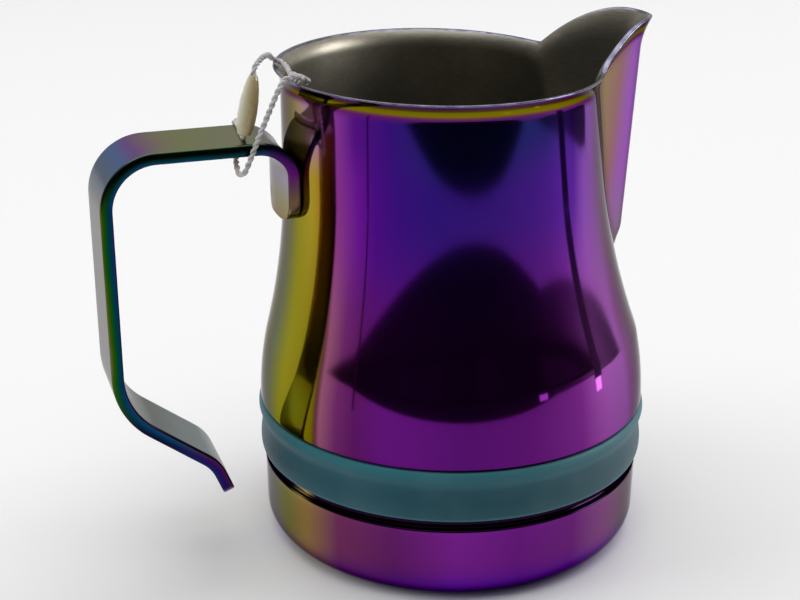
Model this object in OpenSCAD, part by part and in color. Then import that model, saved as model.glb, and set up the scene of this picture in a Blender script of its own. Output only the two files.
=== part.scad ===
// Milk frothing pitcher: a deep-drawn steel jug with a pressed pouring spout, a bent
// strip handle spot-welded to the neck, and a silicone grip band stretched into a
// rolled groove. A tag cord is looped through the handle and closed by a small clasp.
// Frame: millimetres, +Z up, origin at the centre of the base on the body's axis,
// spout toward +X and handle toward -X.

/* [Body] */
// Diameter of the belly
belly_diameter = 83.5; // [80:0.5:86]
// Diameter of the neck
neck_diameter = 71.5; // [70:0.5:74]
// Height of the rim
rim_height = 103; // [100:0.5:108]
// Thickness of the sheet
wall = 1; // [0.8:0.1:1.2]
// Radius of the corner between the base and the side
base_corner = 6; // [5:0.5:7]
// How far the middle of the base is raised
base_recess = 0.8; // [0.5:0.1:1.2]

/* [Rim and spout] */
// How far the rim turns outward
rim_flare = 1.6; // [1:0.1:1.8]
// Height of the spout's lip above the rim
lip_rise = 7.7; // [6:0.1:9]
// Distance of the spout's front ridge from the body's axis, at neck height
ridge_reach = 40; // [39:0.5:41]
// How far pressing the spout pulls in the sides of the mouth
mouth_pinch = 7.9; // [7:0.1:8.5]
// Slope of the spout's flanks from the direction of pouring, in degrees
flank_angle = 33.3; // [31:0.1:36]

/* [Handle] */
// Width of the steel strip
strip_width = 16.3; // [14:0.1:18]
// Thickness of the steel strip
strip_thickness = 2.5; // [2:0.1:3]
// Distance of the grip's outer face from the body's axis
grip_reach = 75; // [73:0.5:78]
// Height of the top face
handle_top = 91.5; // [90:0.5:93]
// Length of the sloping lower run
lower_run = 13.5; // [12:0.5:14]

/* [Grip band] */
// Height of the band
band_height = 11; // [10.6:0.1:11.2]
// How far the main bulge stands out of the groove
band_bulge = 2; // [1.7:0.1:2.2]
// Gap between the band and the groove's floor
band_gap = 0.2; // [0.1:0.05:0.3]

/* [Tag cord] */
// Diameter of the cord
cord_diameter = 1; // [0.8:0.1:1.1]
// Length of the bullet clasp
clasp_length = 12; // [11.8:0.1:12.4]

/* [Hidden] */
$fn = 96;
belly_radius = belly_diameter / 2;
neck_radius = neck_diameter / 2;

// Levels of the lower body
ring_radius = belly_radius - 0.85;
ring_top = 16.8;
groove_radius = belly_radius - 1.85;
groove_bottom = 18.2;
groove_top = 30.4;
shoulder_round = 0.5;
belly_bend = [30.4, 46.5];
waist_bend = [47, 80];
join_height = 28;
seam_overlap = 1;
seam_inset = 0.3;
polygon_margin = 1.0008;
base_flat = ring_radius - base_corner;

// Upper body
side_columns = 54;
column_spread = 1.3;
upper_rings = 22;
pinch_start = 46;
rim_round = 0.3;
flare_height = 4.5;
tip_flare = 2;
tip_flare_height = 7;
ridge_level = 80;
ridge_lean = 0.053;
foot_height = 56;
foot_length = 9;
foot_depth = 3;
foot_blend = 3;
foot_fade = 18;
nose_radius = 6.1;
nose_growth = 0.076;
lip_centre = 41;
lip_curve = 0.04;
rim_dip = 1.2;
crease_blend = 0.8;

// Handle
tab_gap = 0.05;
tab_bottom = 74.3;
tab_corner = 4.5;
tail_corner = 3;
tab_bend = 6.25;
grip_bend = 10.25;
lower_bend = 15.75;
lower_angle = 53.13;
back_bottom = 45.4;
curl_bend = 9;
curl_angle = 31;
tail_length = 5.3;
edge_round = 0.5;
strip_offset = strip_thickness / 2;
tab_centre = turned_radius(tab_bottom) + tab_gap + strip_offset;

// Spot welds
weld_spread = 4;
weld_height = 78;
weld_radius = 1.3;
weld_depth = 0.5;
dimple_depth = 0.2;

// Band
band_bottom = groove_bottom + 0.9;
band_inner = groove_radius + band_gap;

// Cord
cord_sides = 8;
clasp_foot = [-45.9, -6, 92.9];
clasp_tilt = [0, 11.5, 0];
clasp_radius = 1.9;
knot_turns = 4;
knot_middle = [-34.1, -3.6, 102.2];

// Shared functions

function clamp(t) = min(max(t, 0), 1);
function ease(t) = let (c = clamp(t)) c * c * (3 - 2 * c);
function arc(centre, radius, from, to, steps) = [
    for (i = [0:steps])
        let (a = from + (to - from) * i / steps)
        centre + radius * [cos(a), sin(a)]
];

// Triangles of a tube of closed rings that all have the same number of points
function tube_faces(rings, points) = [
    for (k = [0:rings - 2], i = [0:points - 1])
        let (a = k * points + i, b = k * points + (i + 1) % points)
        each [[a, b, b + points], [a, b + points, a + points]]
];
function start_cap(points) = [[for (i = [points - 1:-1:0]) i]];
function end_cap(rings, points) = [[for (i = [0:points - 1]) (rings - 1) * points + i]];

// Body: the turned form leans in steadily more over the belly's bend, and less over the waist's
function middle(bend) = (bend[0] + bend[1]) / 2;
function lean(z, bend) =
    z < bend[0] ? 0
        : z < bend[1] ? pow(z - bend[0], 2) / 2 / (bend[1] - bend[0]) : z - middle(bend);
function turned_radius(z) =
    let (slope = (belly_radius - neck_radius) / (middle(waist_bend) - middle(belly_bend)))
    belly_radius - slope * (lean(z, belly_bend) - lean(z, waist_bend));

// How much the pressing of the spout draws the side in, at an angle from the spout
function draw_in(angle) = angle < 120 ? (1 + cos(1.5 * angle)) / 2 : 0;
function side_radius(angle, z) =
    turned_radius(z)
        - mouth_pinch * draw_in(angle) * max(z - pinch_start, 0) / (rim_height - pinch_start);

// Spout: a rounded nose with two straight flanks
function ridge_radius(z) =
    ridge_reach + ridge_lean * (z - ridge_level)
        - foot_depth * (1 - ease((z - foot_height) / foot_length));
function nose_at(z) = nose_radius + nose_growth * (z - ridge_level);
function spout_radius(angle, z) =
    let (
        normal = 90 - flank_angle,
        nose = nose_at(z),
        centre = ridge_radius(z) - nose,
        tangent = atan2(nose * sin(normal), centre + nose * cos(normal))
    )
    angle <= tangent
        ? centre * cos(angle) + sqrt(nose * nose - pow(centre * sin(angle), 2))
        : angle < normal ? (centre * cos(normal) + nose) / cos(angle - normal) : 0;
function blended(a, b, width) =
    let (h = clamp(0.5 + (a - b) / width / 2))
    b * (1 - h) + a * h + width * h * (1 - h);

// The crease between spout and side is narrow at the rim and fades out toward the spout's foot
function section_radius(angle, z) =
    let (width = crease_blend + foot_blend * (1 - ease((z - foot_height) / foot_fade)))
    blended(side_radius(angle, z), spout_radius(angle, z), width);

// Height of the rim at an angle from the spout
function rim_level(angle) =
    let (
        side = rim_height - rim_dip * pow(draw_in(angle), 2),
        x = (section_radius(angle, rim_height + 2) + rim_flare) * cos(angle),
        lip = rim_height + lip_rise - lip_curve * pow(x - lip_centre, 2)
    )
    angle < 50 ? max(side, lip) : side;

// Outward turn of the rim, a given depth below the edge
function flare(angle, depth) =
    let (
        tip = ease(1.6 * (1 - angle / 40)),
        amount = rim_flare + (tip_flare - rim_flare) * tip,
        height = flare_height + (tip_flare_height - flare_height) * tip
    )
    amount * pow(max(1 - depth / height, 0), 2);

// Radial thickness of the sheet where the section slants across the radius
function radial_wall(angle, z) =
    let (
        step = 1,
        rise = section_radius(min(angle + step, 180), z) - section_radius(max(angle - step, 0), z),
        slope = rise / (2 * step * PI / 180) / section_radius(angle, z)
    )
    wall * sqrt(1 + slope * slope);

// Column angles: close together at the spout, wider apart toward the handle
function column_angle(i) =
    let (half = i <= side_columns ? i : 2 * side_columns - i)
    180 * pow(half / side_columns, column_spread);
function column_side(i) = i <= side_columns ? 1 : -1;

function upper_point(i, z, inward) =
    let (
        angle = column_angle(i),
        level = rim_level(angle),
        radius = section_radius(angle, z) + flare(angle, level - z)
            - inward * radial_wall(angle, min(z, level - rim_round))
    )
    [radius * cos(angle), column_side(i) * radius * sin(angle), z];

function upper_level(i, k) =
    let (
        t = k / upper_rings,
        spread = t + 0.3 * t * (1 - t),
        bottom = groove_top + shoulder_round,
        top = rim_level(column_angle(i)) - rim_round
    )
    bottom + (top - bottom) * spread;

// One point of a plain ring, in the same column as the rest of the wall
function ring_point(i, radius, z) =
    let (angle = column_angle(i))
    [radius * cos(angle), column_side(i) * radius * sin(angle), z];

module upper_body() {
    points = 2 * side_columns;
    shoulder = arc(
        [belly_radius - shoulder_round, groove_top + shoulder_round], shoulder_round, -90, 0, 3
    );
    turned_outer = [
        [groove_radius - seam_inset, join_height - seam_overlap],
        [groove_radius * polygon_margin, join_height],
        [groove_radius, groove_top],
        each shoulder
    ];
    turned_inner = [
        [belly_radius - wall, groove_top + 1.6],
        [groove_radius - wall, groove_top - 0.3],
        [groove_radius - wall * 1.05, join_height],
        [groove_radius - wall + seam_inset, join_height - seam_overlap]
    ];
    outer = [
        for (p = turned_outer)
            [for (i = [0:points - 1]) ring_point(i, p[0], p[1])],
        for (k = [1:upper_rings])
            [for (i = [0:points - 1]) upper_point(i, upper_level(i, k), 0)]
    ];
    edge = [
        for (inward = [0.3, 0.7])
            [for (i = [0:points - 1]) upper_point(i, rim_level(column_angle(i)), inward)]
    ];
    inner = [
        for (k = [upper_rings:-1:2])
            [for (i = [0:points - 1]) upper_point(i, upper_level(i, k), 1)],
        for (p = turned_inner)
            [for (i = [0:points - 1]) ring_point(i, p[0], p[1])]
    ];
    rings = [each outer, each edge, each inner];
    last = (len(rings) - 1) * points;
    closing = [
        for (i = [0:points - 1])
            let (j = (i + 1) % points)
            each [[last + i, last + j, j], [last + i, j, i]]
    ];
    polyhedron(
        points = [for (ring = rings) each ring],
        faces = [for (f = [each tube_faces(len(rings), points), each closing]) [f[2], f[1], f[0]]],
        convexity = 6
    );
}

module lower_body() {
    outer = [
        [0, base_recess],
        [base_flat - 4, base_recess],
        [base_flat - 2.5, 0],
        each arc([base_flat, base_corner], base_corner, -90, 0, 8),
        [ring_radius + 0.2, ring_top - 0.8],
        each arc([ring_radius - 0.3, ring_top - 0.5], 0.5, 10, 90, 3),
        [groove_radius + 0.2, groove_bottom - 0.9],
        [groove_radius, groove_bottom],
        [groove_radius, join_height]
    ];
    inner = [
        [groove_radius - wall, join_height],
        [groove_radius - wall, groove_bottom],
        [ring_radius - wall, ring_top - 2],
        each arc([base_flat, base_corner + wall], base_corner - wall, 0, -90, 6),
        [0, base_recess + wall]
    ];
    rotate_extrude()
        polygon([each outer, each inner]);
}

module pitcher_body() {
    color("MediumSlateBlue") {
        lower_body();
        upper_body();
    }
}

// Handle: stations along the strip's middle line, each [reach, height, heading, blend, end]
// where blend is how far the strip hugs the neck and end the distance to the nearer end
corner_end = [grip_reach - strip_offset, handle_top - strip_offset - grip_bend];
lower_middle = [grip_reach - strip_offset - lower_bend, back_bottom];
slope_start = lower_middle + lower_bend * [cos(lower_angle), -sin(lower_angle)];
slope_way = -[sin(lower_angle), cos(lower_angle)];
slope_end = slope_start + lower_run * slope_way;
curl_middle = slope_end + curl_bend * [cos(lower_angle), -sin(lower_angle)];
tail_turn = 180 - lower_angle + curl_angle;
tail_start = curl_middle + curl_bend * [cos(tail_turn), sin(tail_turn)];
tail_way = [-sin(tail_turn), cos(tail_turn)];

function strip_stations() =
    let (
        bar_level = handle_top - strip_offset,
        bend_level = bar_level - tab_bend,
        bend_middle = [tab_centre + tab_bend, bend_level]
    )
    [
        for (d = [0, 0.5, 1.4, 2.8, tab_corner])
            [tab_centre, tab_bottom + d, [0, 1], 1, d],
        for (i = [0:8])
            let (a = 90 * i / 8)
            [
                bend_middle[0] - tab_bend * cos(a), bend_level + tab_bend * sin(a),
                [sin(a), cos(a)], pow(cos(a), 2), 10
            ],
        for (i = [0:9])
            let (a = 90 * i / 9)
            [
                corner_end[0] - grip_bend + grip_bend * sin(a),
                corner_end[1] + grip_bend * cos(a), [cos(a), -sin(a)], 0, 10
            ],
        for (i = [0:8])
            let (a = lower_angle * i / 8)
            [
                lower_middle[0] + lower_bend * cos(a), lower_middle[1] - lower_bend * sin(a),
                [-sin(a), -cos(a)], 0, 10
            ],
        for (i = [0:5])
            let (a = 180 - lower_angle + curl_angle * i / 5)
            [
                curl_middle[0] + curl_bend * cos(a), curl_middle[1] + curl_bend * sin(a),
                [-sin(a), cos(a)], 0, 10
            ],
        for (d = [tail_corner, 1.8, 0.8, 0.2, 0])
            let (p = tail_start + (tail_length - d) * tail_way)
            [p[0], p[1], tail_way, 0, 5 + d]
    ];

// Half width of the strip a distance from an end with rounded corners
function half_width(distance) =
    let (
        tail = distance >= 5 && distance < 10,
        corner = tail ? tail_corner : tab_corner,
        d = min(tail ? distance - 5 : distance, corner)
    )
    strip_width / 2 - corner + sqrt(corner * corner - pow(corner - d, 2));

// Outline of the strip across its length: [across, outward]
function strip_outline(half) =
    let (
        a = half - edge_round,
        b = strip_offset - edge_round,
        face = [-0.75, -0.45, -0.15, 0.15, 0.45, 0.75]
    )
    [
        each arc([a, b], edge_round, 0, 90, 2),
        for (t = face) [-a * t, strip_offset],
        each arc([-a, b], edge_round, 90, 180, 2),
        each arc([-a, -b], edge_round, 180, 270, 2),
        for (t = face) [a * t, -strip_offset],
        each arc([a, -b], edge_round, 270, 360, 2)
    ];

function strip_ring(station) =
    let (
        way = station[2],
        outward = [-way[1], way[0]],
        outline = strip_outline(half_width(station[4]))
    )
    [
        for (p = outline)
            let (
                hug = station[3] * (tab_centre - sqrt(tab_centre * tab_centre - p[0] * p[0])),
                reach = station[0] + outward[0] * p[1] - hug
            )
            [-reach, p[0], station[1] + outward[1] * p[1]]
    ];

module bent_strip() {
    rings = [for (s = strip_stations()) strip_ring(s)];
    points = len(rings[0]);
    polyhedron(
        points = [for (ring = rings) each ring],
        faces = [
            each start_cap(points),
            each tube_faces(len(rings), points),
            each end_cap(len(rings), points)
        ],
        convexity = 6
    );
}

// Places children on the tab's outer face, one for each weld, with +Z toward the handle's grip
module at_welds(reach) {
    for (side = [-1, 1])
        rotate([0, 0, 180 + side * asin(weld_spread / tab_centre)])
            translate([reach, 0, weld_height])
                rotate([0, 90, 0])
                    children();
}

module handle() {
    color("SlateGray")
        difference() {
            bent_strip();
            at_welds(tab_centre + strip_offset - dimple_depth)
                cylinder(r = weld_radius, h = 2, $fn = 32);
        }
}

module spot_welds() {
    weld_length = tab_centre - strip_offset - neck_radius + 2 * weld_depth;
    color("DimGray")
        at_welds(neck_radius - weld_depth)
            cylinder(r = weld_radius - 0.2, h = weld_length, $fn = 32);
}

module silicone_band() {
    top = band_bottom + band_height;
    outer = groove_radius + band_bulge;
    color("CadetBlue")
        rotate_extrude()
            polygon([
                [band_inner, band_bottom],
                [outer - 0.5, band_bottom],
                [outer - 0.15, band_bottom + 0.35],
                [outer, band_bottom + 1.3],
                [outer - 0.05, band_bottom + 2.6],
                [outer - 0.25, band_bottom + 4.4],
                [outer - 0.45, band_bottom + 6],
                [outer - 0.45, top - 4],
                [outer - 0.2, top - 3.2],
                [outer + 0.2, top - 2.2],
                [outer + 0.3, top - 1.4],
                [outer + 0.1, top - 0.5],
                [outer - 0.4, top],
                [band_inner, top]
            ]);
}

// Tag cord: hand-set route from the clasp's top over the rim, through the knot, down to the
// handle, once round the top bar and back to the clasp's foot
cord_route = [
    [-43.65, -6, 104], [-43, -5.2, 106], [-40.6, -1.4, 106.9], [-38.2, 3.4, 106.3],
    [-36.8, 7.6, 105], [-35.6, 9.6, 103.9], [-33.9, 9.4, 103.2], [-33.6, 6.4, 102.7],
    [-34.1, 1.4, 102.3], [-34, -4, 102.2], [-34, -6.6, 103.1], [-35.8, -7.6, 104.1],
    [-37.9, -8.2, 103.8], [-39.4, -8.8, 101.9], [-41.4, -9.2, 98], [-43.8, -9.4, 92.8],
    [-45.6, -9.4, 88.6], [-46.8, -9.3, 86.2], [-47.6, -8.2, 85.9], [-47.6, -6.4, 87.2],
    [-47, -3.4, 88.3], [-45.8, 2, 88.3], [-44.8, 7.4, 88.3], [-44.5, 9, 89.2],
    [-44.4, 8.9, 91.6], [-44.4, 7, 92.2], [-45.2, -1, 92.1], [-45.7, -4.8, 92.2],
    [-45.9, -6, 93.1]
];
cord_steps = 3;

function route_point(i) = cord_route[min(max(i, 0), len(cord_route) - 1)];
function route_curve(i, t) =
    let (a = route_point(i - 1), b = route_point(i), c = route_point(i + 1), d = route_point(i + 2))
    0.5 * (2 * b + (c - a) * t + (2 * a - 5 * b + 4 * c - d) * t * t
        + (3 * b - a - 3 * c + d) * t * t * t);
cord_line = [
    for (i = [0:len(cord_route) - 2], s = [0:cord_steps - 1]) route_curve(i, s / cord_steps),
    cord_route[len(cord_route) - 1]
];
function unit(v) = v / norm(v);
function cord_way(k) =
    unit(cord_line[min(k + 1, len(cord_line) - 1)] - cord_line[max(k - 1, 0)]);

// Sideways directions carried along the line with the least twist
function carried(side, way) = unit(side - (side * way) * way);
cord_side = [
    for (k = 0, side = carried([0, 0, 1], cord_way(0)); k < len(cord_line);
        k = k + 1, side = carried(side, cord_way(min(k, len(cord_line) - 1))))
        side
];

module tag_cord() {
    rings = len(cord_line);
    color("Gainsboro")
        polyhedron(
            points = [
                for (k = [0:rings - 1], i = [0:cord_sides - 1])
                    let (
                        a = 360 * i / cord_sides,
                        side = cord_side[k],
                        other = cross(cord_way(k), side)
                    )
                    cord_line[k] + cord_diameter / 2 * (cos(a) * side + sin(a) * other)
            ],
            faces = [
                each start_cap(cord_sides),
                each tube_faces(rings, cord_sides),
                each end_cap(rings, cord_sides)
            ],
            convexity = 6
        );
}

module cord_knot() {
    turn = cord_diameter * 0.9;
    color("LightGray")
        translate(knot_middle)
            rotate([90, 0, 0])
                for (i = [0:knot_turns - 1])
                    translate([0, 0, (i - (knot_turns - 1) / 2) * turn * 0.85])
                        rotate_extrude($fn = 24)
                            translate([cord_diameter * 0.75, 0])
                                circle(d = turn, $fn = 12);
}

module clasp_shell() {
    mouth = 0.9;
    bore = 1.1;
    color("Ivory", 0.9)
        translate(clasp_foot)
            rotate(clasp_tilt)
                rotate_extrude($fn = 48)
                    polygon([
                        [bore, mouth],
                        [clasp_radius - 0.4, mouth],
                        [clasp_radius - 0.1, mouth + 1.2],
                        [clasp_radius, mouth + 3.6],
                        [clasp_radius - 0.1, clasp_length - 5],
                        [clasp_radius - 0.4, clasp_length - 2.6],
                        [clasp_radius - 0.8, clasp_length - 0.8],
                        [clasp_radius - 1.1, clasp_length],
                        [cord_diameter / 2 + 0.1, clasp_length],
                        [cord_diameter / 2 + 0.1, clasp_length - 3],
                        [bore, clasp_length - 4]
                    ]);
}

module clasp_plug() {
    head = 0.9;
    stem = 0.8;
    color("Ivory")
        translate(clasp_foot)
            rotate(clasp_tilt)
                rotate_extrude($fn = 48)
                    polygon([
                        [0, 0],
                        [0.9, 0],
                        [1.35, 0.3],
                        [1.45, head],
                        [stem, head],
                        [stem, 4.2],
                        [1.05, 4.4],
                        [stem - 0.2, 6],
                        [0, 6]
                    ]);
}

pitcher_body();
handle();
spot_welds();
silicone_band();
tag_cord();
cord_knot();
clasp_shell();
clasp_plug();
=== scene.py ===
import math

import bpy
from mathutils import Matrix, Vector


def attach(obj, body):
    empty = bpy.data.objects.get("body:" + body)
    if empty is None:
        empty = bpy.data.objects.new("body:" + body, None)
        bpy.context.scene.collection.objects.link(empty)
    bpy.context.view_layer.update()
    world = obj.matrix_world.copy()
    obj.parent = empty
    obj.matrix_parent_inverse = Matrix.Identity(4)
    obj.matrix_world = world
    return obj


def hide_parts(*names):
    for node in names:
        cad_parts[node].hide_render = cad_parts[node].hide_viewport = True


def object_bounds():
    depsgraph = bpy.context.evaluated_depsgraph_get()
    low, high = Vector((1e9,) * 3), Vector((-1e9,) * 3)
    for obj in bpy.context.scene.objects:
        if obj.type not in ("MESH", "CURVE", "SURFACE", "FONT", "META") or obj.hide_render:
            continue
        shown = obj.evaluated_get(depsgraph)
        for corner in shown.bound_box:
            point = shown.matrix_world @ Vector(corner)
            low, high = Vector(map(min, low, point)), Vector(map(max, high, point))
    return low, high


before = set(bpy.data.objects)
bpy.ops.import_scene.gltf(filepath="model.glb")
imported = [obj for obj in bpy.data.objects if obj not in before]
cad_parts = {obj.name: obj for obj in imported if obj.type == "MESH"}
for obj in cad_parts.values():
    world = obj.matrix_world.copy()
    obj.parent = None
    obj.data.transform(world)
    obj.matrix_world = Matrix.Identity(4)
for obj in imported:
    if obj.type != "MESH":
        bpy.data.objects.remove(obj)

cadBox = [list(corner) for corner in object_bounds()]
mm = 0.001
scene = bpy.context.scene

# camera, first of all
shot = {
    "place": (-0.1116, -0.2999, 0.1747),
    "look": (0.2946, 0.8845, -0.3618),
    "lens": 71.2,
    "sensor": 36,
}
lensData = bpy.data.cameras.new("shotCamera")
lensData.lens = shot["lens"]
lensData.sensor_width = shot["sensor"]
lensData.clip_start = 0.01
cameraRig = bpy.data.objects.new("shotCamera", lensData)
cameraRig.location = shot["place"]
cameraRig.rotation_euler = Vector(shot["look"]).to_track_quat("-Z", "Y").to_euler()
scene.collection.objects.link(cameraRig)
scene.camera = cameraRig


# shader maths: a Wire is one socket, and arithmetic on it adds Math nodes
class Wire:
    def __init__(self, board, socket):
        self.board = board
        self.socket = socket

    def calc(self, operation, *values):
        return self.board.node("ShaderNodeMath", {"operation": operation}, [self, *values])

    def flipped(self, operation, first):
        return self.board.node("ShaderNodeMath", {"operation": operation}, [first, self])

    def __add__(self, other):
        return self.calc("ADD", other)

    def __radd__(self, other):
        return self.flipped("ADD", other)

    def __sub__(self, other):
        return self.calc("SUBTRACT", other)

    def __rsub__(self, other):
        return self.flipped("SUBTRACT", other)

    def __mul__(self, other):
        return self.calc("MULTIPLY", other)

    def __rmul__(self, other):
        return self.flipped("MULTIPLY", other)

    def __truediv__(self, other):
        return self.calc("DIVIDE", other)

    def __rtruediv__(self, other):
        return self.flipped("DIVIDE", other)

    def __pow__(self, other):
        return self.calc("POWER", other)

    def __abs__(self):
        return self.calc("ABSOLUTE")

    def smooth(self, low, high):  # 0 below low, 1 above high
        return self.board.node(
            "ShaderNodeMapRange",
            {"interpolation_type": "SMOOTHSTEP"},
            {"Value": self, "From Min": low, "From Max": high},
        )

    def bell(self, middle, width):  # 1 at the middle, 0 a width away
        return 1 - abs((self - middle) / width).smooth(0.0, 1.0)


class Board:
    def __init__(self, name, owner=None):
        self.material = owner or bpy.data.materials.new(name)
        self.material.use_nodes = True
        self.tree = self.material.node_tree
        self.tree.nodes.clear()

    # one way to add any node: its type, its settings, then its sockets
    def node(self, kind, settings=None, sockets=None, out=0):
        made = self.tree.nodes.new(kind)
        for key, value in (settings or {}).items():
            if key == "stops":
                self.setStops(made, value)
            else:
                setattr(made, key, value)
        pairs = sockets.items() if isinstance(sockets, dict) else enumerate(sockets or [])
        for key, value in pairs:
            socket = made.inputs[key]
            if isinstance(value, Wire):
                self.tree.links.new(value.socket, socket)
            else:
                socket.default_value = value
        found = made.outputs[out] if made.outputs else None
        return Wire(self, found) if found else made

    def setStops(self, ramp, stops):
        band = ramp.color_ramp
        while len(band.elements) < len(stops):
            band.elements.new(0.5)
        for element, (place, colour) in zip(band.elements, stops):
            element.position = place
            element.color = srgb(*colour)

    def ramp(self, value, stops):
        return self.node("ShaderNodeValToRGB", {"stops": stops}, {"Fac": value})

    def mix(self, factor, a, b, blend="MIX"):
        made = {"data_type": "RGBA", "blend_type": blend}
        return self.node("ShaderNodeMix", made, {0: factor, 6: a, 7: b}, out=2)

    def place(self):  # position in the shared frame
        return self.node("ShaderNodeTexCoord", out="Object")

    def axes(self, vector):
        split = self.node("ShaderNodeSeparateXYZ", None, [vector]).socket.node
        return [Wire(self, output) for output in split.outputs]

    def millimetres(self, spot):
        return [axis / mm for axis in self.axes(spot)]

    def noise(self, vector, scale, detail=3.0, roughness=0.5):
        sockets = {"Vector": vector, "Scale": scale, "Detail": detail, "Roughness": roughness}
        return self.node("ShaderNodeTexNoise", None, sockets)

    def stretch(self, vector, scale):
        return self.node("ShaderNodeVectorMath", {"operation": "MULTIPLY"}, [vector, scale])

    def bump(self, height, strength, distance):
        return self.node(
            "ShaderNodeBump", None, {"Height": height, "Strength": strength, "Distance": distance}
        )

    def surface(self, sockets):
        skin = self.node("ShaderNodeBsdfPrincipled", None, sockets)
        self.node("ShaderNodeOutputMaterial", None, {"Surface": skin})
        return self.material


def srgb(*colour):  # 0..255 as seen, to the linear values that nodes want
    parts = [c / 255 for c in colour]
    return (*(c / 12.92 if c <= 0.04045 else ((c + 0.055) / 1.055) ** 2.4 for c in parts), 1.0)


def clamp(t):
    return min(max(t, 0.0), 1.0)


def ease(t):
    t = clamp(t)
    return t * t * (3 - 2 * t)


def arc(centre, radius, start, end, steps):  # degrees
    turns = [math.radians(start + (end - start) * i / steps) for i in range(steps + 1)]
    return [(centre[0] + radius * math.cos(a), centre[1] + radius * math.sin(a)) for a in turns]


def addPiece(name, points, faces, materials, marks=None):
    mesh = bpy.data.meshes.new(name)
    mesh.from_pydata(points, [], faces)
    for material in materials:
        mesh.materials.append(material)
    for number, polygon in enumerate(mesh.polygons):
        polygon.use_smooth = True
        polygon.material_index = marks[number] if marks else 0
    piece = bpy.data.objects.new(name, mesh)
    scene.collection.objects.link(piece)
    return piece


def ringFaces(rings, count, start=0, wrap=False, caps=False):  # between rings of count points
    faces = []
    for k in range(rings if wrap else rings - 1):
        below = start + k * count
        above = start + (k + 1) % rings * count
        for i in range(count):
            j = (i + 1) % count
            faces.append((below + i, below + j, above + j, above + i))
    if caps:
        last = start + (rings - 1) * count
        faces.append(tuple(start + i for i in reversed(range(count))))
        faces.append(tuple(last + i for i in range(count)))
    return faces


# a skin over rings of points in millimetres; values are a number on each point, for its material
def ringPiece(name, rings, materials, shades=None, wrap=False, caps=False, label=None, values=None):
    count = len(rings[0])
    points = [Vector(p) * mm for ring in rings for p in ring]
    marks = [shade for shade in shades[:len(rings) - 1] for _ in range(count)] if shades else None
    if marks and caps:
        marks += [marks[0], marks[-1]]
    faces = ringFaces(len(rings), count, wrap=wrap, caps=caps)
    piece = addPiece(name, points, faces, materials, marks)
    if label:
        piece.data.attributes.new(label, "FLOAT", "POINT").data.foreach_set("value", values)
    return piece


print("stage: cord")
cordFacts = {
    "diameter": 1.2,
    "plyRadius": 0.32,
    "plyOffset": 0.28,
    "lay": 2.8,  # one full twist of the two plies
    "steps": 12,  # along one twist
    "sides": 8,
    "smoothing": 16,
    "route": [
        (-43.65, -6, 104), (-43, -5.2, 106), (-40.6, -1.4, 106.9), (-38.2, 3.4, 106.3),
        (-36.8, 7.6, 105), (-35.6, 9.6, 103.9), (-33.9, 9.4, 103.2), (-33.6, 6.4, 102.7),
        (-34.1, 1.4, 102.3), (-34, -4, 102.2), (-34, -6.6, 103.1), (-35.8, -7.6, 104.1),
        (-37.9, -8.2, 103.8), (-39.4, -8.8, 101.9), (-41.4, -9.2, 98), (-43.8, -9.4, 92.8),
        (-45.6, -9.4, 88.6), (-46.8, -9.3, 86.2), (-47.6, -8.2, 85.9), (-47.6, -6.4, 87.2),
        (-47, -3.4, 88.3), (-45.8, 2, 88.3), (-44.8, 7.4, 88.3), (-44.5, 9, 89.2),
        (-44.4, 8.9, 91.6), (-44.4, 7, 92.2), (-45.2, -1, 92.1), (-45.7, -4.8, 92.2),
        (-45.9, -6, 93.1),
    ],
}


def smoothLine(points, steps):  # Catmull-Rom through the points
    line = []
    for i in range(len(points) - 1):
        a, b, c, d = (Vector(points[min(max(i + k, 0), len(points) - 1)]) for k in (-1, 0, 1, 2))
        for s in range(steps):
            t = s / steps
            line.append(0.5 * (2 * b + (c - a) * t + (2 * a - 5 * b + 4 * c - d) * t * t
                               + (3 * b - a - 3 * c + d) * t * t * t))
    line.append(Vector(points[-1]))
    return line


def evenLine(line, step):  # the same line, in equal steps
    lengths = [0.0]
    for p, q in zip(line, line[1:]):
        lengths.append(lengths[-1] + (q - p).length)
    count = max(int(round(lengths[-1] / step)), 2)
    made = []
    k = 0
    for i in range(count + 1):
        want = lengths[-1] * i / count
        while k < len(line) - 2 and lengths[k + 1] < want:
            k += 1
        part = (want - lengths[k]) / max(lengths[k + 1] - lengths[k], 1e-9)
        made.append(line[k].lerp(line[k + 1], clamp(part)))
    return made, lengths[-1]


def carriedFrames(line):  # sideways directions with the least twist
    side = Vector((0, 0, 1))
    frames = []
    for k in range(len(line)):
        way = (line[min(k + 1, len(line) - 1)] - line[max(k - 1, 0)]).normalized()
        side = (side - side.dot(way) * way).normalized()
        frames.append((side.copy(), way.cross(side)))
    return frames


def twistedYarn(name, line, facts, material, startTurn=0.0):
    points = []
    faces = []
    frames = carriedFrames(line)
    sides = facts["sides"]
    turns = [startTurn]
    for p, q in zip(line, line[1:]):
        turns.append(turns[-1] + 2 * math.pi * (q - p).length / facts["lay"])
    for ply in range(2):
        centres = []
        for centre, turn, (side, other) in zip(line, turns, frames):
            a = turn + ply * math.pi
            centres.append(centre + facts["plyOffset"] * (math.cos(a) * side + math.sin(a) * other))
        faces += ringFaces(len(line), sides, start=len(points), caps=True)
        for centre, (side, other) in zip(centres, carriedFrames(centres)):
            for i in range(sides):
                b = 2 * math.pi * i / sides
                spoke = facts["plyRadius"] * (math.cos(b) * side + math.sin(b) * other)
                points.append((centre + spoke) * mm)
    return addPiece(name, points, faces, [material])


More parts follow.
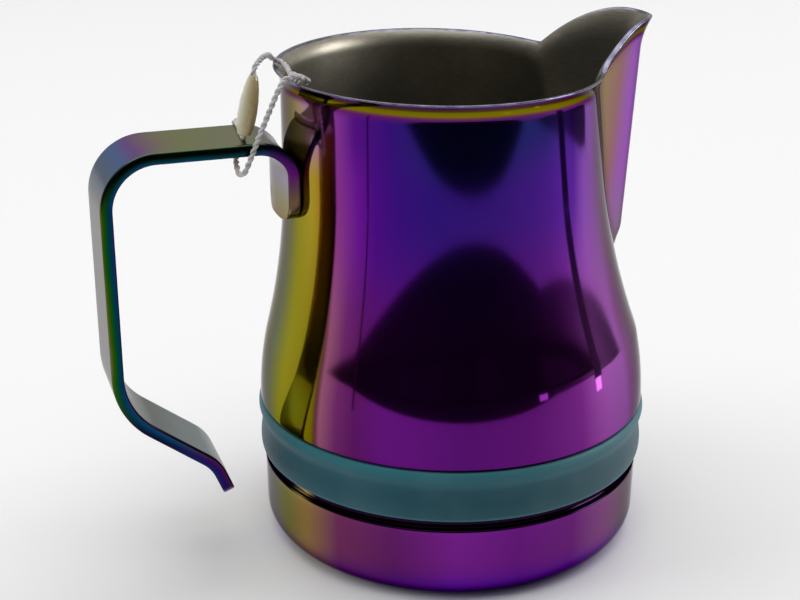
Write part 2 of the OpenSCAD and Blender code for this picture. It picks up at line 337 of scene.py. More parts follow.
def waxedYarn():
    board = Board("waxedYarn")
    spot = board.place()
    fibres = board.noise(spot, 5200.0, 2.0)
    soil = board.noise(spot, 260.0)
    strand = [(0.3, (140, 136, 140)), (0.5, (196, 193, 194)), (0.7, (232, 230, 228))]
    return board.surface({
        "Base Color": board.ramp(0.6 * soil + 0.4 * fibres, strand),
        "Roughness": 0.62 + 0.25 * fibres,
        "Normal": board.bump(fibres, 0.5, 0.0001),
        "Sheen Weight": 0.25,
        "Specular IOR Level": 0.35,
    })


yarn = waxedYarn()
routeLine = smoothLine(cordFacts["route"], cordFacts["smoothing"])
cordLine, cordSpan = evenLine(routeLine, cordFacts["lay"] / cordFacts["steps"])
tagCord = twistedYarn("tagCordYarn", cordLine, cordFacts, yarn)
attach(tagCord, "pitcher")
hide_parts("tag_cord")

knotFacts = {
    "middle": (-34.0, -3.9, 102.4),
    "bearing": 15,  # how far its axis turns away from the Y axis
    "turns": 4.6,
    "pitch": 1.02,
    "radius": 0.86,
    "coilSteps": 28,
    "startTurn": 0.4,
}


def knotLine(facts):
    swing = Matrix.Rotation(math.radians(facts["bearing"]), 3, "Z")
    count = int(facts["turns"] * facts["coilSteps"])
    line = []
    for k in range(count + 1):
        turn = facts["turns"] * k / count
        a = 2 * math.pi * turn
        along = (turn - facts["turns"] / 2) * facts["pitch"]
        coil = Vector((facts["radius"] * math.cos(a), along, facts["radius"] * math.sin(a)))
        line.append(Vector(facts["middle"]) + swing @ coil)
    return line


cordKnot = twistedYarn("tagCordKnot", knotLine(knotFacts), cordFacts, yarn, knotFacts["startTurn"])
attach(cordKnot, "pitcher")
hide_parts("cord_knot")


print("stage: pitcher body")
body = {  # lengths in millimetres, angles in degrees from the spout
    "bellyRadius": 41.75,
    "neckRadius": 35.75,
    "rimHeight": 103.0,
    "wall": 1.0,
    "baseCorner": 6.0,
    "baseSteps": [(8, 0.8), (4, 0.8), (3.4, 0.62), (2.9, 0.18), (2.4, 0), (1.2, 0)],  # inset, height
    "baseRecess": 0.8,
    "baseHole": 0.02,  # radius of the small cap in the middle
    "ringRadius": 40.9,
    "ringSwell": [(0.05, 9.0), (0.15, 15.4)],  # outward, height
    "ringTop": 16.8,
    "ringRound": 0.5,
    "ringRoundInset": 0.3,  # of the rounding's middle, from the ring's radius
    "grooveRadius": 39.9,
    "grooveBottom": 18.2,
    "grooveTop": 30.4,
    "grooveFillet": [(0.35, 1.25), (0.15, 0.9)],  # outward, below the groove's bottom
    "shoulderRound": 0.5,
    "rimRound": 0.3,
    "innerTaper": 1.6,
    "bellyBend": (30.4, 46.5),
    "waistBend": (47.0, 80.0),
    "rimFlare": 1.6,
    "flareHeight": 3.4,
    "tipFlare": 2.0,
    "tipFlareHeight": 7.0,
    "tipFlareEnd": 40,
    "lipRise": 7.7,
    "lipCentre": 41.0,
    "lipCurve": 0.04,
    "lipEnd": 50,
    "rimDip": 1.2,
    "mouthPinch": 7.9,
    "pinchStart": 46.0,
    "drawInEnd": 120,
    "ridgeReach": 40.0,
    "ridgeLean": 0.053,
    "ridgeLevel": 80.0,
    "footDepth": 3.0,
    "footHeight": 56.0,
    "footLength": 9.0,
    "footBlend": 3.0,
    "footFade": 18.0,
    "noseRadius": 6.1,
    "noseGrowth": 0.076,
    "flankAngle": 33.3,
    "creaseBlend": 1.8,
    "halfColumns": 150,
    "columnSpread": 1.15,  # above 1, columns crowd toward the spout
    "levelSpread": 0.3,  # above 0, rings crowd toward the rim
    "outerRings": 110,
    "innerRings": 80,
}


def lean(z, bend):  # how far a wall has leaned in that tips over between two heights
    low, high = bend
    if z < low:
        return 0.0
    return (z - low) ** 2 / 2 / (high - low) if z < high else z - (low + high) / 2


def turnedRadius(z):  # the drawn body before the mouth is pinched and the spout pressed
    run = (sum(body["waistBend"]) - sum(body["bellyBend"])) / 2
    slope = (body["bellyRadius"] - body["neckRadius"]) / run
    return body["bellyRadius"] - slope * (lean(z, body["bellyBend"]) - lean(z, body["waistBend"]))


def drawIn(angle):  # 1 at the spout, 0 past the end of the drawn-in stretch
    end = body["drawInEnd"]
    return (1 + math.cos(math.pi * angle / end)) / 2 if angle < end else 0.0


def sideRadius(angle, z):
    share = max(z - body["pinchStart"], 0) / (body["rimHeight"] - body["pinchStart"])
    return turnedRadius(z) - body["mouthPinch"] * drawIn(angle) * share


def spoutRadius(angle, z):
    normal = math.radians(90 - body["flankAngle"])
    turn = math.radians(angle)
    nose = body["noseRadius"] + body["noseGrowth"] * (z - body["ridgeLevel"])
    foot = body["footDepth"] * (1 - ease((z - body["footHeight"]) / body["footLength"]))
    ridge = body["ridgeReach"] + body["ridgeLean"] * (z - body["ridgeLevel"]) - foot
    middle = ridge - nose
    tangent = math.atan2(nose * math.sin(normal), middle + nose * math.cos(normal))
    if turn <= tangent:
        return middle * math.cos(turn) + math.sqrt(nose ** 2 - (middle * math.sin(turn)) ** 2)
    if turn < normal:
        return (middle * math.cos(normal) + nose) / math.cos(turn - normal)
    return 0.0


def sectionRadius(angle, z):  # side and spout together, with a soft crease between them
    fade = 1 - ease((z - body["footHeight"]) / body["footFade"])
    width = body["creaseBlend"] + body["footBlend"] * fade
    a = sideRadius(angle, z)
    b = spoutRadius(angle, z)
    h = clamp(0.5 + (a - b) / width / 2)
    return b * (1 - h) + a * h + width * h * (1 - h)


def rimLevel(angle):  # the rim dips a little, then climbs to the lip
    side = body["rimHeight"] - body["rimDip"] * drawIn(angle) ** 2
    if angle >= body["lipEnd"]:
        return side
    reach = sectionRadius(angle, body["rimHeight"] + 2) + body["rimFlare"]
    x = reach * math.cos(math.radians(angle))
    lip = body["rimHeight"] + body["lipRise"] - body["lipCurve"] * (x - body["lipCentre"]) ** 2
    return max(side, lip)


def flare(angle, depth):
    tip = ease(1.6 * (1 - angle / body["tipFlareEnd"]))
    amount = body["rimFlare"] + (body["tipFlare"] - body["rimFlare"]) * tip
    height = body["flareHeight"] + (body["tipFlareHeight"] - body["flareHeight"]) * tip
    return amount * max(1 - depth / height, 0) ** 2


def radialWall(angle, z):  # the sheet's thickness as the radius sees it
    step = 1
    rise = sectionRadius(min(angle + step, 180), z) - sectionRadius(max(angle - step, 0), z)
    slope = rise / math.radians(2 * step) / sectionRadius(angle, z)
    return body["wall"] * math.sqrt(1 + slope ** 2)


def columnAngles():
    half = body["halfColumns"]
    spread = body["columnSpread"]
    first = [180 * (i / half) ** spread for i in range(half + 1)]
    return [(a, 1) for a in first] + [(a, -1) for a in reversed(first[1:-1])]


def wallPoint(angle, side, radius, z):
    turn = math.radians(angle)
    return (radius * math.cos(turn), side * radius * math.sin(turn), z)


def crowded(t):
    return t + body["levelSpread"] * t * (1 - t)


def pitcherSkin(materials):  # shades: 0 coated outside, 1 bare edge, 2 brushed inside
    b = body
    columns = columnAngles()
    levels = {angle: rimLevel(angle) for angle, side in columns}
    wall, edge = b["wall"], b["rimRound"]
    rings, shades, depths = [], [], []  # depths: how far each point is below the rim

    def addRing(ring, shade, ringDepths):
        rings.append(ring)
        shades.append(shade)
        depths.extend(ringDepths)

    def turned(profile, shade):
        for radius, z in profile:
            ring = [wallPoint(angle, side, radius, z) for angle, side in columns]
            addRing(ring, shade, [b["rimHeight"]] * len(columns))

    def shaped(t, bottom, shade, inset):  # t: 0 at the bottom, 1 at the rim
        ring, ringDepths = [], []
        for angle, side in columns:
            level = levels[angle]
            z = bottom + (level - edge - bottom) * crowded(t)
            radius = sectionRadius(angle, z) + flare(angle, level - z) - inset(angle, z)
            ring.append(wallPoint(angle, side, radius, z))
            ringDepths.append(level - z)
        addRing(ring, shade, ringDepths)

    flat = b["ringRadius"] - b["baseCorner"]
    turned([(b["baseHole"], b["baseRecess"])] + [(flat - d, z) for d, z in b["baseSteps"]], 0)
    turned(arc((flat, b["baseCorner"]), b["baseCorner"], -90, 0, 18), 0)
    turned([(b["ringRadius"] + d, z) for d, z in b["ringSwell"]], 0)
    ringMiddle = (b["ringRadius"] - b["ringRoundInset"], b["ringTop"] - b["ringRound"])
    turned(arc(ringMiddle, b["ringRound"], 10, 90, 7), 0)
    turned([(b["grooveRadius"] + d, b["grooveBottom"] - drop) for d, drop in b["grooveFillet"]], 0)
    turned([(b["grooveRadius"], b["grooveBottom"]), (b["grooveRadius"], b["grooveTop"] - 0.02)], 0)
    bottom = b["grooveTop"] + b["shoulderRound"]
    turned(arc((b["bellyRadius"] - b["shoulderRound"], bottom), b["shoulderRound"], -88, 0, 8), 0)
    for k in range(1, b["outerRings"] + 1):
        shaped(k / b["outerRings"], bottom, 0, lambda angle, z: 0.0)
    shades[-1] = 1  # the bare edge starts here
    walls = {angle: radialWall(angle, levels[angle] - edge) for angle in levels}
    for turn in range(1, 8):  # the rounded edge of the rim
        part = math.pi * turn / 8
        ring = []
        for angle, side in columns:
            z = levels[angle] - edge + edge * math.sin(part)
            radius = sectionRadius(angle, z) + flare(angle, levels[angle] - z)
            ring.append(wallPoint(angle, side, radius - walls[angle] * (1 - math.cos(part)) / 2, z))
        addRing(ring, 1, [0.0] * len(columns))
    innerBottom = b["grooveTop"] + b["innerTaper"]
    for k in range(b["innerRings"], 0, -1):
        shaped(k / b["innerRings"], innerBottom, 2, radialWall)
    groove, ring = b["grooveRadius"] - wall, b["ringRadius"] - wall
    turned([(b["bellyRadius"] - wall, innerBottom), (groove, b["grooveTop"] - 0.3),
            (groove, b["grooveBottom"]), (ring, b["ringTop"] - 2), (ring, 9)], 2)
    turned(arc((flat, b["baseCorner"] + wall), b["baseCorner"] - wall, 0, -90, 12), 2)
    turned([(flat - 4, b["baseRecess"] + wall + 0.05), (b["baseHole"], b["baseRecess"] + wall)], 2)
    return ringPiece("pitcherShell", rings, materials, shades, caps=True,
                     label="rimDepth", values=depths)


# rainbow coating: its colour goes with the angle round the body, 0 at the spout and 1 at the handle
coating = {
    "neck": [
        (0.00, (160, 97, 186)), (0.055, (160, 98, 182)), (0.085, (156, 112, 114)),
        (0.12, (154, 134, 98)), (0.20, (138, 126, 100)), (0.245, (144, 122, 132)),
        (0.30, (148, 98, 172)), (0.33, (140, 84, 180)), (0.365, (88, 40, 146)),
        (0.42, (72, 28, 132)), (0.52, (56, 24, 118)), (0.64, (46, 21, 116)),
        (0.705, (56, 17, 122)), (0.75, (74, 14, 130)), (0.785, (102, 22, 142)),
        (0.832, (138, 54, 136)), (0.842, (96, 44, 40)), (0.85, (136, 82, 8)),
        (0.875, (160, 128, 36)), (0.90, (170, 150, 46)), (0.94, (156, 148, 48)),
        (0.975, (138, 136, 84)), (1.00, (132, 134, 110)),
    ],
    "belly": [
        (0.00, (140, 128, 122)), (0.16, (140, 128, 122)), (0.21, (136, 106, 128)),
        (0.245, (144, 94, 144)), (0.27, (160, 98, 174)), (0.33, (150, 78, 160)),
        (0.39, (112, 38, 126)), (0.48, (92, 22, 110)), (0.58, (84, 18, 108)),
        (0.66, (94, 20, 118)), (0.72, (98, 22, 122)), (0.765, (92, 24, 98)),
        (0.80, (110, 42, 102)), (0.832, (146, 84, 112)), (0.842, (86, 44, 44)),
        (0.85, (116, 100, 4)), (0.90, (138, 128, 28)), (0.94, (150, 144, 40)),
        (0.97, (134, 138, 72)), (1.00, (126, 134, 106)),
    ],
    "collar": [
        (0.00, (160, 96, 194)), (0.055, (158, 98, 188)), (0.09, (154, 114, 112)),
        (0.13, (152, 130, 100)), (0.20, (140, 124, 104)), (0.245, (150, 112, 150)),
        (0.30, (150, 104, 180)), (0.33, (132, 86, 176)), (0.365, (78, 40, 140)),
        (0.44, (40, 36, 106)), (0.54, (30, 36, 102)), (0.64, (32, 36, 106)),
        (0.72, (54, 18, 120)), (0.79, (84, 18, 128)), (0.84, (140, 60, 150)),
        (0.885, (184, 116, 186)), (0.93, (164, 140, 110)), (0.97, (140, 128, 84)),
        (1.00, (138, 130, 110)),
    ],
    "edge": [  # by depth below the rim, over 6 mm
        (0.00, (120, 116, 140)), (0.05, (96, 78, 140)), (0.09, (80, 40, 110)),
        (0.15, (84, 44, 48)), (0.21, (76, 56, 24)), (0.28, (114, 108, 6)),
        (0.40, (118, 106, 4)), (0.46, (112, 62, 60)), (0.53, (96, 30, 96)),
        (1.00, (70, 22, 106)),
    ],
    "ring": [
        (0.00, (160, 150, 150)), (0.22, (156, 146, 138)), (0.32, (146, 92, 142)),
        (0.40, (110, 40, 122)), (0.50, (104, 28, 126)), (0.60, (120, 34, 142)),
        (0.70, (104, 34, 108)), (0.80, (124, 54, 102)), (0.87, (172, 138, 78)),
        (0.93, (150, 148, 84)), (1.00, (164, 164, 154)),
    ],
}


def coatedSteel():
    board = Board("rainbowSteel")
    spot = board.place()
    x, y, z = board.millimetres(spot)
    radius = (x * x + y * y) ** 0.5
    around = (x / radius).calc("ARCCOSINE") / math.pi
    cloud = board.noise(spot, 26.0, 2.0, 0.45) - 0.5
    drift = around + 0.018 * cloud
    neck, belly, ring, collar = (
        board.ramp(drift, coating[part]) for part in ("neck", "belly", "ring", "collar")
    )
    colour = board.mix((z + 20 * cloud).smooth(50.0, 84.0), belly, neck)
    colour = board.mix((z + 8 * cloud).smooth(84.0, 97.0), colour, collar)
    depth = board.node("ShaderNodeAttribute", {"attribute_name": "rimDepth"}, out="Fac")
    edge = board.ramp(depth / 6 + 0.03 * cloud, coating["edge"])
    colour = board.mix(depth.smooth(2.6, 4.6), edge, colour)
    colour = board.mix(z.smooth(17.0, 22.0), ring, colour)
    foot = board.mix(1.0, colour, (0.68, 0.5, 1.5, 1.0), blend="MULTIPLY")
    colour = board.mix(z.smooth(2.0, 9.0), foot, colour)
    # painted shade: the groove under the band, from the ring's top to the band's lower part, is made near
    # black, except in a narrow stretch towards the handle
    grooveShade = z.smooth(16.2, 16.6) * (1 - z.smooth(20.0, 24.0)) * (1 - drift.bell(0.885, 0.035))
    colour = board.mix(grooveShade, colour, (0.012, 0.004, 0.016, 1.0))  # painted shade: near black in the groove under the band
    scratches = board.noise(board.stretch(spot, (900.0, 900.0, 60.0)), 1.0, 2.0)
    polish = board.noise(spot, 90.0, 4.0)
    return board.surface({
        "Base Color": colour,
        "Metallic": 1.0,
        "Roughness": 0.05 + 0.05 * polish,
        "Normal": board.bump(scratches, 0.02, 0.0001),
        "Specular Tint": (0.42, 0.4, 0.44, 1.0),
    })


def brushedInside():
    board = Board("brushedInside")
    spot = board.place()
    x, y, z = board.millimetres(spot)
    radius = (x * x + y * y) ** 0.5
    around = y.calc("ARCTAN2", x)
    lines = board.node("ShaderNodeCombineXYZ", None, [around * 3.0, z * 4.0, radius * 0.02])
    brush = board.noise(lines, 6.0, 4.0, 0.6)
    haze = board.noise(spot, 60.0)
    steel = [(0.3, (112, 108, 98)), (0.5, (150, 145, 132)), (0.7, (184, 179, 164))]
    return board.surface({
        "Base Color": board.ramp(0.7 * brush + 0.3 * haze, steel),
        "Metallic": 1.0,
        "Roughness": 0.34 + 0.16 * brush,
        "Normal": board.bump(brush, 0.12, 0.0002),
    })


def polishedEdge():
    board = Board("polishedEdge")
    wear = board.noise(board.place(), 420.0)
    return board.surface({
        "Base Color": board.ramp(wear, [(0.35, (96, 94, 116)), (0.65, (136, 136, 156))]),
        "Metallic": 1.0,
        "Roughness": 0.12 + 0.14 * wear,
    })


shell = pitcherSkin([coatedSteel(), polishedEdge(), brushedInside()])
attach(shell, "pitcher")
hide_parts("pitcher_body")


print("stage: handle")
strip = {
    "width": 16.3,
    "thickness": 2.5,
    "reach": 75.0,
    "top": 91.5,
    "tabCentre": 37.17,
    "tabBottom": 74.3,
    "tabCorner": 4.5,
    "tailCorner": 3.0,
    "tabBend": 6.25,
    "gripBend": 10.25,
    "lowerBend": 15.75,
    "lowerAngle": 53.13,
    "backBottom": 45.4,
    "lowerRun": 13.5,
    "curlBend": 9.0,
    "curlAngle": 31.0,
    "tailLength": 5.3,
    "edgeRound": 0.5,
    "across": 48,
    "weldHeight": 78.0,
    "weldSpread": 4.0,
    "weldRadius": 1.3,
    "dimple": 0.22,
}


# stations from the tab's end to the tail's: (reach and height, heading, length so far)
def stripStations():
    s = strip
    offset = s["thickness"] / 2
    bar = s["top"] - offset
    grip = s["reach"] - offset
    place = Vector((s["tabCentre"], s["tabBottom"]))
    heading = 90.0
    travelled = 0.0
    stations = []

    def straight(length, shares):
        nonlocal place, travelled
        turn = math.radians(heading)
        way = Vector((math.cos(turn), math.sin(turn)))
        for share in shares:
            stations.append((place + way * length * share, way, travelled + length * share))
        place = place + way * length
        travelled += length

    def bend(radius, angle, steps):  # a positive angle turns left
        nonlocal place, heading, travelled
        side = math.copysign(radius, angle)
        turn = math.radians(heading)
        middle = place + side * Vector((-math.sin(turn), math.cos(turn)))
        for i in range(steps + 1):
            turn = math.radians(heading + angle * i / steps)
            way = Vector((math.cos(turn), math.sin(turn)))
            place = middle - side * Vector((-way.y, way.x))
            stations.append((place, way, travelled + radius * math.radians(abs(angle)) * i / steps))
        heading += angle
        travelled += radius * math.radians(abs(angle))

    def between(steps):
        return [i / steps for i in range(1, steps)]

    # the tab: close stations round its corner, then even ones
    tab = bar - s["tabBend"] - s["tabBottom"]
    corner = s["tabCorner"]
    shares = [corner * (1 - math.cos(math.radians(9 * i))) / tab for i in range(10)]
    straight(tab, shares + [(corner + (tab - corner) * i / 14) / tab for i in range(14)])
    bend(s["tabBend"], -90, 24)
    straight(grip - s["gripBend"] - s["tabCentre"] - s["tabBend"], between(8))
    bend(s["gripBend"], -90, 28)
    straight(bar - s["gripBend"] - s["backBottom"], between(12))
    bend(s["lowerBend"], -s["lowerAngle"], 24)
    straight(s["lowerRun"], between(6))
    bend(s["curlBend"], s["curlAngle"], 14)
    tail, corner = s["tailLength"], s["tailCorner"]
    shares = [(tail - corner) * i / 4 / tail for i in range(1, 4)]
    straight(tail, shares + [1 - corner * (1 - math.sin(math.radians(9 * i))) / tail for i in range(11)])
    return stations


def stripOutline(half):  # (across, depth) points round a cross-section
    s = strip
    bevel = s["edgeRound"]
    a = half - bevel
    b = s["thickness"] / 2 - bevel
    count = s["across"]
    outline = arc((a, b), bevel, 0, 90, 5)
    outline += [(a * (1 - 2 * i / count), b + bevel) for i in range(1, count)]
    outline += arc((-a, b), bevel, 90, 180, 5)
    outline += arc((-a, -b), bevel, 180, 270, 5)
    outline += [(-a * (1 - 2 * i / count), -b - bevel) for i in range(1, count)]
    return outline + arc((a, -b), bevel, 270, 360, 5)


def stripShares():  # 0 on the outer face, 1 on the inner one
    return [0.5 - depth / strip["thickness"] for _, depth in stripOutline(strip["width"] / 2)]


def cornerInset(corner, distance):  # what a rounded end takes from half the width
    return corner - math.sqrt(corner ** 2 - max(corner - distance, 0) ** 2)


def stripRing(station, total):
    s = strip
    place, way, travelled = station
    half = s["width"] / 2
    half -= max(cornerInset(s["tabCorner"], travelled), cornerInset(s["tailCorner"], total - travelled))
    flat = s["thickness"] / 2 - s["edgeRound"]
    hug = max(way.y, 0) ** 2  # the tab follows the body's curve
    ring = []
    for across, depth in stripOutline(half):
        wrap = hug * (s["tabCentre"] - math.sqrt(s["tabCentre"] ** 2 - across ** 2))
        level = place.y + way.x * depth
        if depth < -flat and hug > 0.99:  # pressed weld marks on the tab's outer face
            for side in (-1, 1):
                off = math.hypot(across - side * s["weldSpread"], level - s["weldHeight"])
                depth += s["dimple"] * (1 - ease(off / s["weldRadius"] / 1.15))
        ring.append((-(place.x - way.y * depth - wrap), across, level))
    return ring


# the strip's colours; the narrow sides go by the place between the outer and inner faces
stripCoating = {
    "outside": [  # along the strip
        (0.04, (172, 172, 138)), (0.18, (170, 174, 112)), (0.225, (170, 160, 128)),
        (0.262, (164, 128, 156)), (0.29, (150, 104, 180)), (0.335, (112, 138, 200)),
        (0.40, (120, 140, 168)), (0.50, (132, 128, 120)), (0.70, (128, 122, 112)),
        (0.88, (128, 124, 112)),
    ],
    "foot": [  # by height over 60 mm
        (0.28, (130, 90, 150)), (0.36, (152, 156, 160)), (0.48, (150, 162, 158)), (0.60, (136, 140, 130)),
    ],
    "inside": (206, 184, 150),
    "tab": [  # by height over 92 mm
        (0.80, (150, 128, 84)), (0.85, (156, 150, 112)), (0.90, (162, 152, 166)), (1.00, (150, 150, 136)),
    ],
    "tabSide": [
        (0.80, (60, 30, 90)), (0.86, (104, 84, 56)), (0.92, (92, 20, 110)), (0.98, (30, 24, 70)),
    ],
    "uprightSide": [
        (0.0, (96, 96, 60)), (0.14, (58, 84, 4)), (0.32, (24, 78, 8)), (0.52, (4, 66, 46)),
        (0.74, (0, 54, 76)), (0.92, (20, 40, 96)), (1.0, (60, 36, 110)),
    ],
    "lowerSide": [
        (0.0, (50, 46, 40)), (0.16, (18, 10, 40)), (0.4, (10, 34, 70)), (0.66, (2, 60, 90)),
        (0.9, (40, 60, 104)), (1.0, (60, 36, 110)),
    ],
    "tailSide": [
        (0.0, (40, 46, 96)), (0.25, (32, 30, 104)), (0.5, (40, 20, 92)), (0.75, (70, 20, 84)),
        (1.0, (74, 44, 50)),
    ],
    "barSide": [
        (0.0, (60, 80, 60)), (0.2, (14, 26, 8)), (0.45, (10, 20, 24)), (0.66, (4, 50, 50)),
        (0.84, (6, 60, 100)), (1.0, (84, 64, 130)),
    ],
}


def handleSteel():
    board = Board("rainbowStrip")
    spot = board.place()
    x, y, z = board.millimetres(spot)
    across = board.node("ShaderNodeAttribute", {"attribute_name": "thickShare"}, out="Fac")
    cloud = board.noise(spot, 55.0, 2.0) - 0.5
    offTab = (abs(x) + 2 * cloud).smooth(40.0, 44.0)
    wavy = z + 3 * cloud

    run = (abs(x) - z + 50) / 90 + 0.06 * cloud
    foot = board.ramp(z / 60, stripCoating["foot"])
    face = board.mix(wavy.smooth(32.0, 42.0), foot, board.ramp(run, stripCoating["outside"]))
    inner = across.smooth(0.9, 0.98) * wavy.smooth(44.0, 52.0)
    face = board.mix(inner, face, srgb(*stripCoating["inside"]))
    face = board.mix(offTab, board.ramp(z / 92, stripCoating["tab"]), face)

    strand = across + 0.5 * cloud
    upright, lower, tail, bar = (
        board.ramp(strand, stripCoating[part])
        for part in ("uprightSide", "lowerSide", "tailSide", "barSide")
    )
    side = board.mix(wavy.smooth(24.0, 31.0), tail, lower)
    side = board.mix((z + 5 * cloud).smooth(32.0, 46.0), side, upright)
    side = board.mix(wavy.smooth(80.0, 88.0), side, bar)
    side = board.mix(offTab, board.ramp(z / 92, stripCoating["tabSide"]), side)

    halfWidth = strip["width"] / 2
    onSide = abs(y).smooth(halfWidth - 0.75, halfWidth - 0.15)
    brush = board.noise(board.stretch(spot, (300.0, 2600.0, 300.0)), 1.0)
    return board.surface({
        "Base Color": board.mix(onSide, face, side),
        "Metallic": 1.0,
        "Roughness": 0.14 + 0.12 * brush,
        "Normal": board.bump(brush, 0.05, 0.0001),
        "Specular Tint": (0.55, 0.55, 0.56, 1.0),
    })


stations = stripStations()
rings = [stripRing(station, stations[-1][2]) for station in stations]
handleStrip = ringPiece("handleStrip", rings, [handleSteel()], caps=True,
                        label="thickShare", values=stripShares() * len(rings))
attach(handleStrip, "pitcher")
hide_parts("handle")


def weldSteel():
    board = Board("weldSteel")
    grain = board.noise(board.place(), 1800.0)
    return board.surface({
        "Base Color": board.ramp(grain, [(0.35, (84, 82, 78)), (0.65, (140, 136, 128))]),
        "Metallic": 1.0,
        "Roughness": 0.3 + 0.2 * grain,
        "Normal": board.bump(grain, 0.2, 0.0001),
    })


def repaint(node, material):  # a piece that the frame already carries
    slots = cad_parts[node].data.materials
    slots.clear()
    slots.append(material)


repaint("spot_welds", weldSteel())


print("stage: grip band")
band = {
    "innerRadius": 40.1,
    "outerRadius": 41.9,
    "bottom": 19.1,
    "height": 11.0,
    "columns": 256,
    "smoothing": 6,
    "section": [  # beyond the outer radius, above the bottom: a bulge, a waist and a rib
        (-0.62, 0.0), (-0.3, 0.12), (-0.12, 0.45), (0.0, 1.3), (-0.02, 2.6), (-0.25, 4.4),
        (-0.45, 6.0), (-0.45, 7.0), (-0.2, 7.8), (0.2, 8.8), (0.3, 9.6), (0.12, 10.4),
        (-0.2, 10.88), (-0.5, 11.0),
    ],
    # teal silicone with painted light by height: the paler bottom edge and top rib are painted highlights,
    # the darker lower middle is painted shade
    "colours": [
        (0.0, (40, 116, 132)), (0.08, (8, 76, 90)), (0.35, (2, 72, 86)), (0.62, (6, 78, 94)),
        (0.82, (20, 96, 108)), (1.0, (44, 112, 124)),
    ],
}


def bandRings():
    outer, inner, low = band["outerRadius"], band["innerRadius"], band["bottom"]
    top = low + band["height"]
    line = smoothLine([(outer + d, 0.0, low + h) for d, h in band["section"]], band["smoothing"])
    profile = [(p.x, p.z) for p in line]
    profile += [(inner + 0.3, top), (inner, top - 0.3), (inner, low + 0.3), (inner + 0.3, low)]
    turns = [2 * math.pi * i / band["columns"] for i in range(band["columns"])]
    return [[(radius * math.cos(a), radius * math.sin(a), z) for a in turns] for radius, z in profile]


def siliconeRubber():
    board = Board("tealSilicone")
    spot = board.place()
    z = board.millimetres(spot)[2]
    grain = board.noise(spot, 2600.0)
    cloud = board.noise(spot, 70.0)
    height = (z - band["bottom"]) / band["height"]
    # the ramp over height paints highlights at the band's edges and shade in its lower middle over the
    # teal
    colour = board.ramp(height + 0.06 * (cloud - 0.5), band["colours"])
    return board.surface({
        "Base Color": board.mix(cloud.smooth(0.4, 0.8) * 0.25, colour, srgb(84, 118, 126)),
        "Roughness": 0.46 + 0.12 * grain + 0.08 * cloud,
        "Normal": board.bump(grain, 0.12, 0.0001),
        "Specular IOR Level": 0.34,
        "Sheen Weight": 0.12,
    })


gripBand = ringPiece("gripBand", bandRings(), [siliconeRubber()], wrap=True)
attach(gripBand, "band")
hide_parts("silicone_band")


print("stage: clasp")


def claspPlastic():
    board = Board("ivoryPlastic")
    spot = board.place()
    x, y, z = board.millimetres(spot)
    cloud = board.noise(spot, 320.0)
    across = x * 0.949 - y * 0.316 + (z - 98.5) * -0.19  # along the shell's width, which lies along the camera's right-hand direction
    # painted shading across the shell over the plastic's ivory: pale grey-white on the camera's left,
    # darker ochre towards the right
    paintedShading = 0.5 + (across + 0.5 * cloud + 40.6) / 5
    return board.surface({
        "Base Color": board.ramp(paintedShading, [
            (0.12, (214, 214, 206)), (0.32, (206, 202, 184)), (0.52, (190, 178, 138)),
            (0.80, (158, 140, 92)), (0.95, (170, 160, 130)),
        ]),
        "Roughness": 0.2 + 0.16 * cloud,
        "Subsurface Weight": 0.25,
        "Subsurface Radius": (0.004, 0.0035, 0.002),
        "Subsurface Scale": 0.3,
        "Coat Weight": 0.3,
    })


ivory = claspPlastic()
repaint("clasp_shell", ivory)
repaint("clasp_plug", ivory)

round(cordSpan * mm, 4)
[tuple(p * mm) for p in cordLine]
print("cord length", round(cordSpan, 1), "mm")


print("stage: studio")
studio = {
    "floorHalf": 4.0,
    "floorDrop": 0.0002,  # below the part, so the two don't share a plane
    "floorShades": ((0.86, 0.86, 0.86, 1.0), (0.847, 0.847, 0.847, 1.0)),
    "shotBearing": -110.4,  # from the body's axis to the camera
    "table": [  # front edge, then round the right-hand end
        (-0.9, -0.173), (0.10, -0.335), (0.34, -0.39), (0.41, -0.25), (0.45, -0.165), (0.47, -0.10),
        (0.46, -0.03), (0.44, 0.03), (0.435, 0.08), (0.50, 0.13), (4.0, 0.9),
    ],
    "tableEnd": [(-0.9, -0.173), (-0.88, 0.1), (-4.0, 0.5)],
    "flagShade": 0.01,
    "stands": [(91.0, 0.335, 0.036), (-53.0, 0.27, 0.005)],  # bearing from the camera, distance, width
    "standHeight": 0.08,
    "standShade": 0.08,
    "glints": [  # bearing, distance and height, then size and radiance
        ((42.2, 0.084, 0.0407), (0.006, 0.0028), 2.5),
        ((72.2, 0.0744, 0.0362), (0.005, 0.005), 3.0),
    ],
    "glintAim": (0, 0, 0.04),
    "lamps": {  # place, aim, size, radiance, what sees it
        "topSoftbox": ((0.0, 0.1, 1.6), (0, 0, 0), (2.0, 2.0), 1.5, "everything"),
        "rightBox": ((1.3, -0.42, 0.5), (0, 0, 0.1), (0.6, 0.5), 12.0, "reflections"),
        "leftKey": ((-2.2, 0.5, 0.9), (0, 0, 0.05), (1.6, 1.6), 2.6, "surfaces"),
        "rightKey": ((2.2, 0.5, 0.9), (0, 0, 0.05), (1.6, 1.6), 2.6, "surfaces"),
    },
    "frontShade": 0.05,
    "sideShade": 0.5,
    "topShade": 0.5,
    "backdrop": 0.95,
}


def onFloor(bearing, distance, height):  # bearing from the camera's, in degrees
    turn = math.radians(studio["shotBearing"] + bearing)
    return distance * math.cos(turn), distance * math.sin(turn), height


def sheetOf(name, corners, material):
    sheet = addPiece(name, corners, [tuple(range(len(corners)))], [material])
    return sheet


def paleFloor():
    board = Board("paleFloor")
    colour = board.mix(board.noise(board.place(), 2.0, 2.0), *studio["floorShades"])
    return board.surface({"Base Color": colour, "Roughness": 0.7, "Specular IOR Level": 0.2})


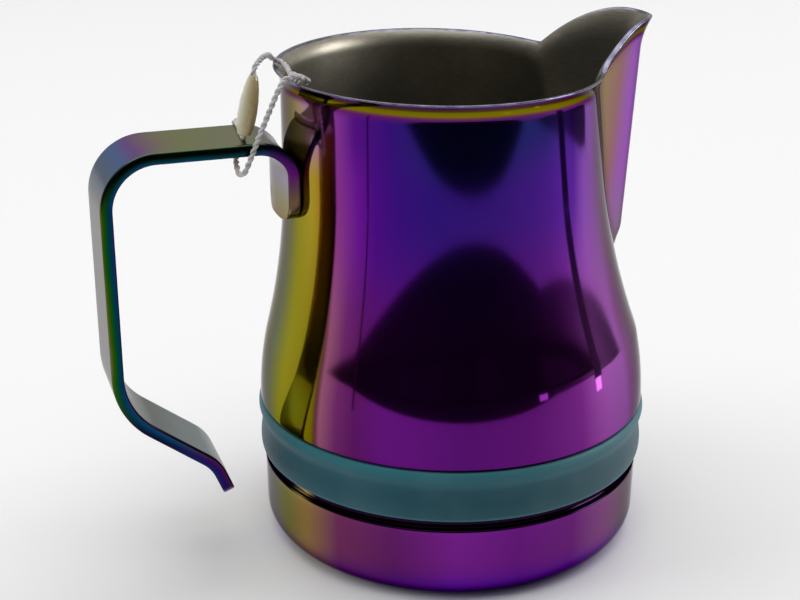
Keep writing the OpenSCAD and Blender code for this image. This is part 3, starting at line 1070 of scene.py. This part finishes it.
reach = studio["floorHalf"]
floorLevel = cadBox[0][2] - studio["floorDrop"]
sheetOf("paleFloor", [(x * reach, y * reach, floorLevel) for x, y in ((-1, -1), (1, -1), (1, 1), (-1, 1))],
        paleFloor())


def flag(name, corners, shade):  # a black studio flag, which only polished surfaces see
    board = Board(name)
    black = board.surface({"Base Color": (shade, shade, shade, 1.0), "Roughness": 0.8})
    sheet = sheetOf(name, corners, black)
    sheet.visible_camera = False
    sheet.visible_diffuse = False
    sheet.visible_shadow = False
    sheet.visible_transmission = False


# the dark room in front of the table, and past its left end
for name, outline, end in (("frontFlag", "table", reach), ("endFlag", "tableEnd", -reach)):
    edge = studio[outline]
    corners = [(edge[0][0], -reach), *edge, (end, -reach)]
    flag(name, [(x, y, 0.0) for x, y in corners], studio["flagShade"])

for number, (bearing, distance, width) in enumerate(studio["stands"]):
    spread = math.degrees(width / 2 / distance)
    feet = [onFloor(bearing + side * spread, distance, 0.0) for side in (-1, 1)]
    heads = [(*foot[:2], studio["standHeight"]) for foot in reversed(feet)]
    flag(f"stand{number}", feet + heads, studio["standShade"])


def softLight(name, place, aim, size, radiance, seenBy):
    data = bpy.data.lights.new(name, "AREA")
    data.shape = "RECTANGLE"
    data.size, data.size_y = size
    data.energy = radiance * math.pi * size[0] * size[1]
    lamp = bpy.data.objects.new(name, data)
    lamp.location = place
    lamp.rotation_euler = (Vector(aim) - Vector(place)).to_track_quat("-Z", "Y").to_euler()
    lamp.visible_camera = False
    lamp.visible_glossy = seenBy != "surfaces"
    lamp.visible_diffuse = seenBy != "reflections"
    lamp.visible_transmission = seenBy != "reflections"
    scene.collection.objects.link(lamp)


for number, (spot, size, radiance) in enumerate(studio["glints"]):
    softLight(f"glint{number}", onFloor(*spot), studio["glintAim"], size, radiance, "reflections")
for name, facts in studio["lamps"].items():
    softLight(name, *facts)

world = bpy.data.worlds.new("studioWorld")
scene.world = world


def roomAround():  # dark in front, paler at the sides and overhead, near white behind the part
    board = Board("studioWorld", world)
    spot = board.node("ShaderNodeTexCoord", out="Generated")
    x, y, z = board.axes(spot)
    turn = math.radians(studio["shotBearing"] + 10)
    front = (x * math.cos(turn) + y * math.sin(turn)) / (x * x + y * y + 0.0001) ** 0.5
    sides = 1 - front.smooth(-0.42, -0.2)
    folds = board.noise(board.stretch(spot, (1.7, 1.7, 0.2)), 1.0, 2.0).smooth(0.4, 0.8)
    dark = studio["frontShade"] * (0.7 + 1.2 * folds)
    shade = dark + (studio["sideShade"] - dark) * sides
    shade = shade + (studio["topShade"] - shade) * z.smooth(0.4, 0.85)
    seen = board.node("ShaderNodeLightPath", out="Is Camera Ray")
    strength = shade + (studio["backdrop"] - shade) * seen
    glow = board.node("ShaderNodeBackground", None, {"Strength": strength, "Color": (1, 1, 1, 1)})
    board.node("ShaderNodeOutputWorld", None, {"Surface": glow})


roomAround()
scene.view_settings.view_transform = "Standard"
